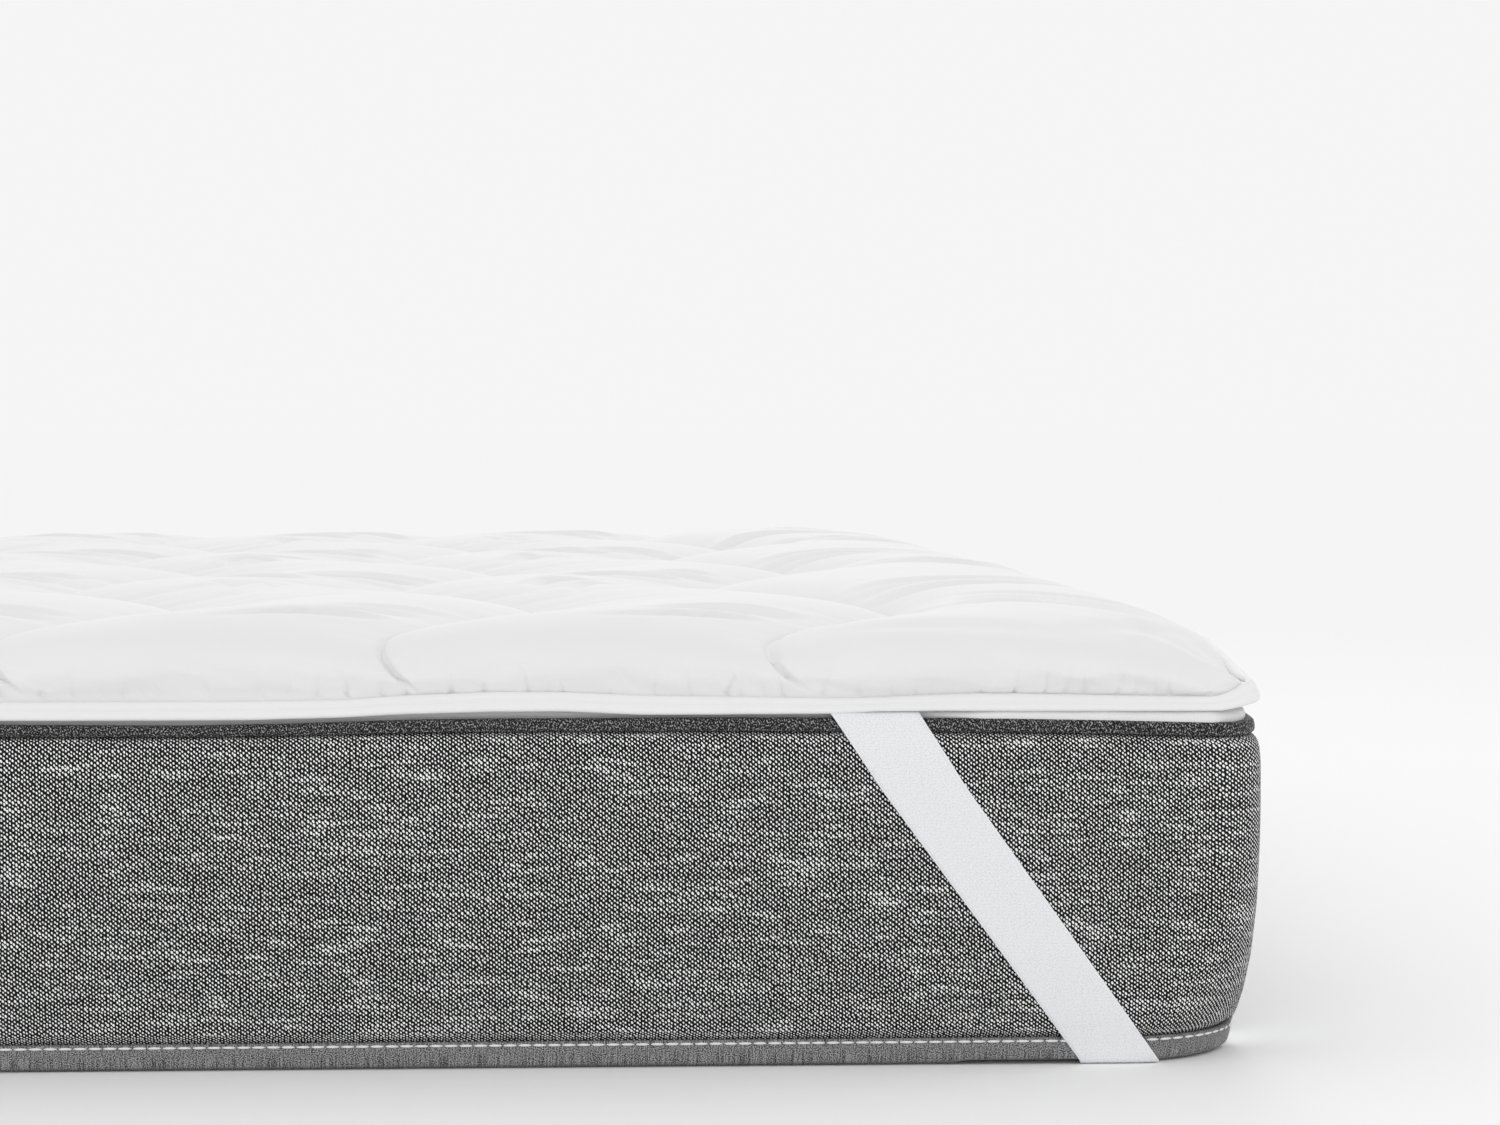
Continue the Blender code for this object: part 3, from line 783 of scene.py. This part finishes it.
def build_topper(mat):
    """The quilted pad: filled between its seams, then creased and stitched."""
    points, cloth_x, cloth_y, near, share = topper_surface(pad_height=0.009)
    obj = from_grid("quilted_topper", points, (cloth_x, cloth_y))
    cloth = read_cloth(obj.data)
    held = np.min([np.abs(np.abs(cloth[:, 0] - seam)) for seam in SEAMS], axis=0) < 1e-5
    held |= share_of(obj, points, share) < 0.235
    fill_with_air(obj, held, pressure=6.0, stretch=0.006, frames=20, cap=0.011)
    smooth = obj.modifiers.new("rounded", "SUBSURF")
    smooth.levels = 1
    smooth.render_levels = 1
    apply_modifiers(obj)
    bm = bmesh.new()
    bm.from_mesh(obj.data)
    level = [e for e in bm.edges if all(low_on_edge(v.co) for v in e.verts)
             and abs(e.verts[0].co.z - e.verts[1].co.z) < 0.3 * e.calc_length()
             and e.calc_length() > 0.0022]
    bmesh.ops.subdivide_edges(bm, edges=level, cuts=4, use_grid_fill=True)
    bm.to_mesh(obj.data)
    bm.free()
    mesh = obj.data
    cloth = read_cloth(mesh)
    points = read_points(mesh)
    normals = np.empty(len(points) * 3)
    mesh.vertex_normals.foreach_get("vector", normals)
    normals = normals.reshape(-1, 3)
    upper = np.clip((points[:, 2] - 0.285) / 0.02, 0.0, 1.0)
    near = np.min([np.abs(cloth[:, 0] - seam) for seam in SEAMS], axis=0)
    clear = np.clip((points[:, 2] - 0.268) / 0.012, 0.0, 1.0)
    stitched = (0.0068 - 0.0050 * upper) * clear * np.exp(-(near / 0.0024) ** 2)
    sunk = creases(cloth) * upper + stitched
    height = points[:, 2] - lift_at(points[:, 0], points[:, 1]) - 0.2655
    side = (np.abs(points[:, 0]) > TOPPER_X - 0.03) & (np.abs(points[:, 1]) < TOPPER_Y - 0.03)
    side &= lift_at(points[:, 0], points[:, 1]) < 0.001
    end = (np.abs(points[:, 1]) > TOPPER_Y - 0.05) & (np.abs(points[:, 0]) < TOPPER_X - 0.03)
    low = (height > 0.0) & (height < 0.03)
    for n, (chosen, along) in enumerate(((end, 0), (side, 1))):
        chosen = chosen & low
        sunk[chosen] += puckers(points[chosen, along] + 1.1, height[chosen],
                                spacing=0.021, seed=5 + n)
    mesh.vertices.foreach_set("co", (points - normals * sunk[:, None]).ravel())
    mesh.update()
    close_underside(obj)
    place_on(obj, mat, "quilted_cotton", "topper")
    return obj


def close_underside(obj):
    """Turn the open lower rim in and close it flat on the mattress."""
    bm = bmesh.new()
    bm.from_mesh(obj.data)
    for inset, z in ((0.030, TOPPER_LOW + 0.0004), (0.090, TOPPER_LOW)):
        rims = [e for e in bm.edges if e.is_boundary]
        grown = bmesh.ops.extrude_edge_only(bm, edges=rims)["geom"]
        for v in grown:
            if isinstance(v, bmesh.types.BMVert):
                v.co.x = math.copysign(min(abs(v.co.x), TOPPER_X - inset), v.co.x)
                v.co.y = math.copysign(min(abs(v.co.y), TOPPER_Y - inset), v.co.y)
                v.co.z = z
    bmesh.ops.remove_doubles(bm, verts=bm.verts[:], dist=0.00001)
    bmesh.ops.holes_fill(bm, edges=[e for e in bm.edges if e.is_boundary], sides=0)
    bmesh.ops.recalc_face_normals(bm, faces=bm.faces[:])
    bm.to_mesh(obj.data)
    bm.free()


def binding_edges(places):
    """Upper and lower edge of the binding at each place round the topper."""
    x, y = places[:, 0], places[:, 1]
    side = np.abs(x) > TOPPER_X - 0.02
    track = np.where(side, 0.55 - 0.45 * np.cos(2.4 * (y + TOPPER_Y)), x)
    track = np.where(y > 0.9, -x, track)
    up = np.interp(track, BINDING_X, BINDING_UP)
    down = np.interp(track, BINDING_X, BINDING_DOWN)
    blend = np.clip((y + TOPPER_Y) / 0.03, 0.0, 1.0)
    front = np.interp(x, BINDING_X, BINDING_UP), np.interp(x, BINDING_X, BINDING_DOWN)
    up = front[0] * (1.0 - blend) + up * blend
    down = front[1] * (1.0 - blend) + down * blend
    lift = lift_at(x, y)
    return up + lift, down + lift


def build_binding(mat):
    """The folded tape round the topper, rolled outwards where it is lifted."""
    places, normals, around = ring(TOPPER_X, TOPPER_Y, TOPPER_R, 0.0, across=300, along=360)
    up, down = binding_edges(places)
    turn = flare_at(places[:, 0] * (places[:, 0] > TOPPER_X - 0.02), places[:, 1])
    ripple = sum(np.sin(around * rate + phase) for rate, phase in BINDING_RIPPLES)
    rows = []
    roll = turn / math.radians(max(FLARE))
    # thicker and taller just behind the near right corner, where it is gathered
    stout = np.clip((places[:, 0] - 0.728) / 0.026, 0.0, 1.0)
    stout = stout * np.clip((0.055 - places[:, 1] - TOPPER_Y) / 0.040, 0.0, 1.0)
    for out, share in BINDING_PROFILE:
        full = math.sin(math.pi * min(1.0, share))
        out = out + 0.00022 * ripple * (1.0 - share) + 0.0026 * roll * full
        out = out + 0.0002 * stout * full
        drop = (1.0 - share) * (up - down) * (1.0 - 0.22 * roll + 0.55 * stout)
        reach = out * np.cos(turn) + drop * np.sin(turn) - 0.0105 * np.sin(turn)
        z = up + out * np.sin(turn) - drop * np.cos(turn) - 0.0015 * np.sin(turn)
        rows.append(np.column_stack([places + normals * reach[:, None], z]))
    rows = np.array(rows)
    across = length_along(rows)
    obj = from_grid("edge_binding", rows, np.meshgrid(around, across), merge=True)
    thicken(obj, 0.0007)
    place_on(obj, mat, "edge_binding", "topper_binding")
    return obj


# ---- the mattress ----

def border_out(z):
    """How far the border stands out at a height, for a level tape."""
    return np.interp(TOP_TAPE_LOW - z, SWELL_DROP, SWELL)


def tape_edges(places):
    """Upper and lower edge of the charcoal tape at each place."""
    x, y = places[:, 0], places[:, 1]
    up = np.interp(x, TAPE_X, TAPE_UP)
    down = np.interp(x, TAPE_X, TAPE_DOWN)
    inset = (0.0, 0.02, 0.07, 0.30)
    flank_up = np.interp(HALF_Y - np.abs(y), inset, (0.2449, 0.2462, 0.2500, 0.2494))
    flank_down = np.interp(HALF_Y - np.abs(y), inset, (0.2361, 0.2368, 0.2404, 0.2400))
    back = np.interp(np.abs(x), (0.0, 0.45, 0.70, 0.762), (0.2498, 0.2492, 0.2478, 0.2449))
    side = np.abs(x) > HALF_X - 0.012
    up = np.where(side, flank_up, np.where(y > 0.0, back, up))
    down = np.where(side, flank_down, np.where(y > 0.0, back - 0.0088, down))
    return up, down


def build_border(mat):
    """The mattress sides, swollen between the tapes and closed behind them."""
    places, _, _ = ring(HALF_X, HALF_Y, CORNER_R, 0.0)
    _, tape_down = tape_edges(places)
    low = BOTTOM_TAPE_H + 0.0003
    profile = [(TUCK, 0.0030), (TUCK, low)]
    for share in 0.5 - 0.5 * np.cos(math.pi * np.linspace(0.12, 1.0, 34)):
        level = low + (TOP_TAPE_LOW - low) * share
        z = low + (tape_down - 0.0013 - low) * share
        profile.append((float(border_out(level)), z))
    profile += [(-0.0040, tape_down - 0.0006), (TUCK, tape_down + 0.0004), (TUCK, BODY_TOP)]
    rows, uv = band(profile)
    obj = from_grid("heather_border", rows, uv, merge=True, cap=True)
    place_on(obj, mat, "heather_border", "mattress")
    return obj


def build_top_panel(mat):
    """The knit cover on the mattress, seen above the tape near one corner."""
    places, _, _ = ring(HALF_X, HALF_Y, CORNER_R, 0.0)
    tape_up, _ = tape_edges(places)
    x, y = places[:, 0], places[:, 1]
    proud = np.where(y < -0.5, np.interp(x, (0.50, 0.56, 0.728, 0.742), (0.0, 1.0, 1.0, 0.5)), 0.2)
    edge = -0.0085 + 0.0098 * proud
    dip = 0.2500 - tape_up
    profile = [(TUCK, tape_up - 0.0045), (edge - 0.0015, tape_up - 0.0020),
               (edge - 0.0004, tape_up + 0.0008), (edge, 0.5 * tape_up + 0.5 * 0.2536),
               (edge - 0.0016, 0.2546 - 0.3 * dip), (edge - 0.0070, PANEL_TOP - 0.2 * dip),
               (-0.0240, PANEL_TOP), (-0.0450, PANEL_TOP)]
    rows, uv = band(profile)
    obj = from_grid("knit_top_panel", rows, uv, merge=True, cap=True)
    place_on(obj, mat, "knit_panel", "mattress_top_panel")
    return obj


def build_top_tape(mat):
    """The charcoal tape, a rounded roll whose edges turn in."""
    places, _, _ = ring(HALF_X, HALF_Y, CORNER_R, 0.0)
    up, down = tape_edges(places)
    tall = up - down
    profile = [(-0.0050, down + 0.0006), (-0.0004, down + 0.0002), (0.0014, down),
               (0.0024, down + 0.0008), (0.0028, down + 0.25 * tall), (0.0027, down + 0.55 * tall),
               (0.0020, down + 0.82 * tall), (0.0006, up - 0.0004), (-0.0012, up),
               (-0.0034, up - 0.0002), (-0.0050, up - 0.0010)]
    rows, uv = band(profile)
    obj = from_grid("charcoal_top_tape", rows, uv, merge=True)
    thicken(obj, 0.0006)
    place_on(obj, mat, "charcoal_tape", "mattress_top_tape")
    return obj


def build_bottom_tape(mat):
    """The grey tape, its foot pushed up where a strap passes under it."""
    places, _, _ = ring(HALF_X, HALF_Y, CORNER_R, 0.0)
    near = np.minimum(np.abs(np.abs(places[:, 0]) - (HALF_X - 0.1)),
                      np.abs(np.abs(places[:, 1]) - (HALF_Y - 0.1)))
    under = 0.0030 * np.clip((0.062 - near) / 0.012, 0.0, 1.0)
    profile = [(-0.0066, 0.0004 + under), (-0.0056, 0.0004 + under),
               (-0.0042, 0.0020 + 0.4 * under), (-0.0020, 0.0026 + 0.4 * under),
               (-0.0006, 0.0038 + 0.2 * under), (0.0000, 0.0066),
               (0.0004, 0.0110), (0.0004, 0.0150), (-0.0001, 0.0166), (0.0003, 0.0178),
               (0.0001, 0.0190), (-0.0014, 0.0193), (-0.0056, 0.0188)]
    rows, uv = band(profile)
    obj = from_grid("grey_bottom_tape", rows, uv, merge=True)
    thicken(obj, 0.0006)
    place_on(obj, mat, "grey_tape", "mattress_bottom_tape")
    return obj


def build_lockstitch(mat):
    """White dashes of thread round the upper edge of the grey tape."""
    z = 0.0171
    pitch = 0.0105
    dash = Matrix.Diagonal((0.0055, 0.0008, 0.0009, 1.0))
    places, normals, around = ring(HALF_X, HALF_Y, float(corner_radius(z)), 0.0006)
    count = round(around[-1] / pitch)
    bm = bmesh.new()
    run = bmesh.new()
    for n in range(count):
        at = around[-1] * (n + 0.5) / count
        x = np.interp(at, around, places[:, 0])
        y = np.interp(at, around, places[:, 1])
        k = min(np.searchsorted(around, at), len(normals) - 1)
        turn = math.atan2(normals[k, 1], normals[k, 0]) + 0.5 * math.pi
        spot = Matrix.Translation((x, y, z)) @ Matrix.Rotation(turn, 4, "Z") @ dash
        bmesh.ops.create_uvsphere(run, u_segments=6, v_segments=5, radius=1.0, matrix=spot)
        if n % 20 == 19 or n == count - 1:
            sewn = bpy.data.meshes.new("sewn_run")
            run.to_mesh(sewn)
            bm.from_mesh(sewn)
            run.clear()
    run.free()
    obj = from_bmesh("tape_lockstitch", bm)
    place_on(obj, mat, "edge_binding")
    return obj


# ---- the straps ----

def strap_path():
    """Middle of the strap's thickness: outward place, height and level."""
    path = [(-0.0110, 0.2540), (-0.0050, 0.2540), (0.0000, 0.2536), (0.0030, 0.2512)]
    path += [(0.0044, 0.2470), (0.0052, 0.2410), (0.0068, 0.2365), (0.0086, 0.2315)]
    for i in range(1, 24):
        z = 0.2290 - (0.2290 - 0.0200) * i / 24
        path.append((max(0.0022, float(border_out(z)) + 0.0020), z))
    path += [(0.0020, 0.0190), (0.0018, 0.0090), (0.0014, 0.0050)]
    path += [(0.0006, 0.0026), (-0.0014, 0.0014), (-0.0090, 0.0013)]
    return path


def corner_inset(distance, z, drawn):
    """The taut strap bridges the corner a little outside the border."""
    radius = CORNER_R + drawn * max(0.0, 1.0 - z / 0.110) ** 2
    if distance >= radius:
        return 0.0
    reach = radius - distance
    return radius - math.sqrt(radius * radius - reach * reach)


def build_strap(mat, name, sx, sy):
    """A strap down an end face, under its corner and up the side face."""
    down = []
    up = []
    for out, z in strap_path():
        share = min(1.0, max(0.0, z / STRAP_TOP_Z))
        front = []
        flank = []
        for k in range(STRAP_ACROSS + 1):
            part = k / STRAP_ACROSS
            low = STRAP_LOW_NEAR + (STRAP_LOW_FAR - STRAP_LOW_NEAR) * part
            high = STRAP_TOP_NEAR + (STRAP_TOP_FAR - STRAP_TOP_NEAR) * part
            distance = low + (high - low) * share + np.interp(share, STRAP_HEIGHTS, STRAP_BOW)
            inset = corner_inset(distance, z, 0.058) - out
            front.append((sx * (HALF_X - distance), sy * (HALF_Y - inset), z))
            inset = corner_inset(distance, z, 0.088) - out
            flank.append((sx * (HALF_X - inset), sy * (HALF_Y - distance), z))
        down.append(front)
        up.append(flank)
    points = np.array(down + up[::-1])
    along = length_along(points)
    across = np.linspace(0.0, STRAP_WIDTH, STRAP_ACROSS + 1)
    obj = from_grid(name, points, np.meshgrid(across, along))
    thicken(obj, 0.0016)
    place_on(obj, mat, "ribbed_elastic", name.replace("elastic_", ""))
    return obj


# ---- setting ----

def build_floor():
    """A wide pale floor with painted light: its colour is brighter near the object, against the
    shade the object casts, and a little deeper in tone away from the object, so that it fades into
    the white room.
    """
    bm = bmesh.new()
    bmesh.ops.create_grid(bm, x_segments=1, y_segments=1, size=60.0)
    floor = from_bmesh("floor", bm)
    mat, tree, shader = new_material("pale_floor_painted_light", 0.95)
    place = tree.nodes.new("ShaderNodeTexCoord").outputs["Object"]
    away = node(tree, "VectorMath", [(0, place)], operation="LENGTH").node.outputs["Value"]
    # painted light: the floor is painted brighter near the object, where its shade falls, and
    # darker far off
    painted_floor_light = node(tree, "MapRange", [("Value", away)],
                [("From Min", 1.3), ("From Max", 4.5), ("To Min", 0.975), ("To Max", 0.917)])
    link(tree, shader, [("Base Color", painted_floor_light)])
    shader.inputs["Specular IOR Level"].default_value = 0.0
    floor.data.materials.append(mat)


def softbox(name, towards, energy, spread):
    """A large soft lamp in the direction towards."""
    data = bpy.data.lights.new(name, "SUN")
    data.energy = energy
    data.angle = math.radians(spread)
    lamp = bpy.data.objects.new(name, data)
    lamp.rotation_euler = Vector(towards).to_track_quat("Z", "Y").to_euler()
    bpy.context.scene.collection.objects.link(lamp)


def build_light():
    """A white room, a soft key light from behind and two weak fills."""
    world = bpy.data.worlds.new("soft_white_room")
    world.use_nodes = True
    sky = world.node_tree.nodes["Background"]
    sky.inputs["Color"].default_value = (0.914, 0.914, 0.914, 1.0)
    sky.inputs["Strength"].default_value = 1.0
    bpy.context.scene.world = world
    softbox("overhead_softbox", (0.12, 0.94, 0.31), energy=0.72, spread=25.0)
    softbox("front_softbox", (0.0, -1.0, 0.06), energy=0.25, spread=12.0)
    softbox("left_softbox", (-1.0, 0.0, 0.06), energy=0.25, spread=12.0)


def build_camera():
    """The camera low in front of the near end, turned to its right corner."""
    data = bpy.data.cameras.new("camera")
    data.sensor_width = 36.0
    data.lens = 88.584
    data.shift_x = 0.13
    data.clip_end = 200.0
    camera = bpy.data.objects.new("camera", data)
    camera.location = (0.1285, -3.6257, 0.4726)
    camera.rotation_euler = (math.radians(90.0 - 2.4425), 0.0, math.radians(-2.7915))
    bpy.context.scene.collection.objects.link(camera)
    bpy.context.scene.camera = camera
    bpy.context.scene.view_settings.view_transform = "Standard"


def build():
    build_floor()
    build_light()
    build_camera()
    build_topper(cotton_percale())
    build_binding(twill_binding())
    build_border(heather_jacquard())
    build_top_panel(white_knit())
    build_top_tape(charcoal_twill())
    build_bottom_tape(grey_plain_weave())
    build_lockstitch(spun_thread())
    elastic = woven_elastic()
    corners = (("front_right", 1, -1), ("front_left", -1, -1),
               ("back_right", 1, 1), ("back_left", -1, 1))
    for name, sx, sy in corners:
        build_strap(elastic, "elastic_strap_" + name, sx, sy)


build()
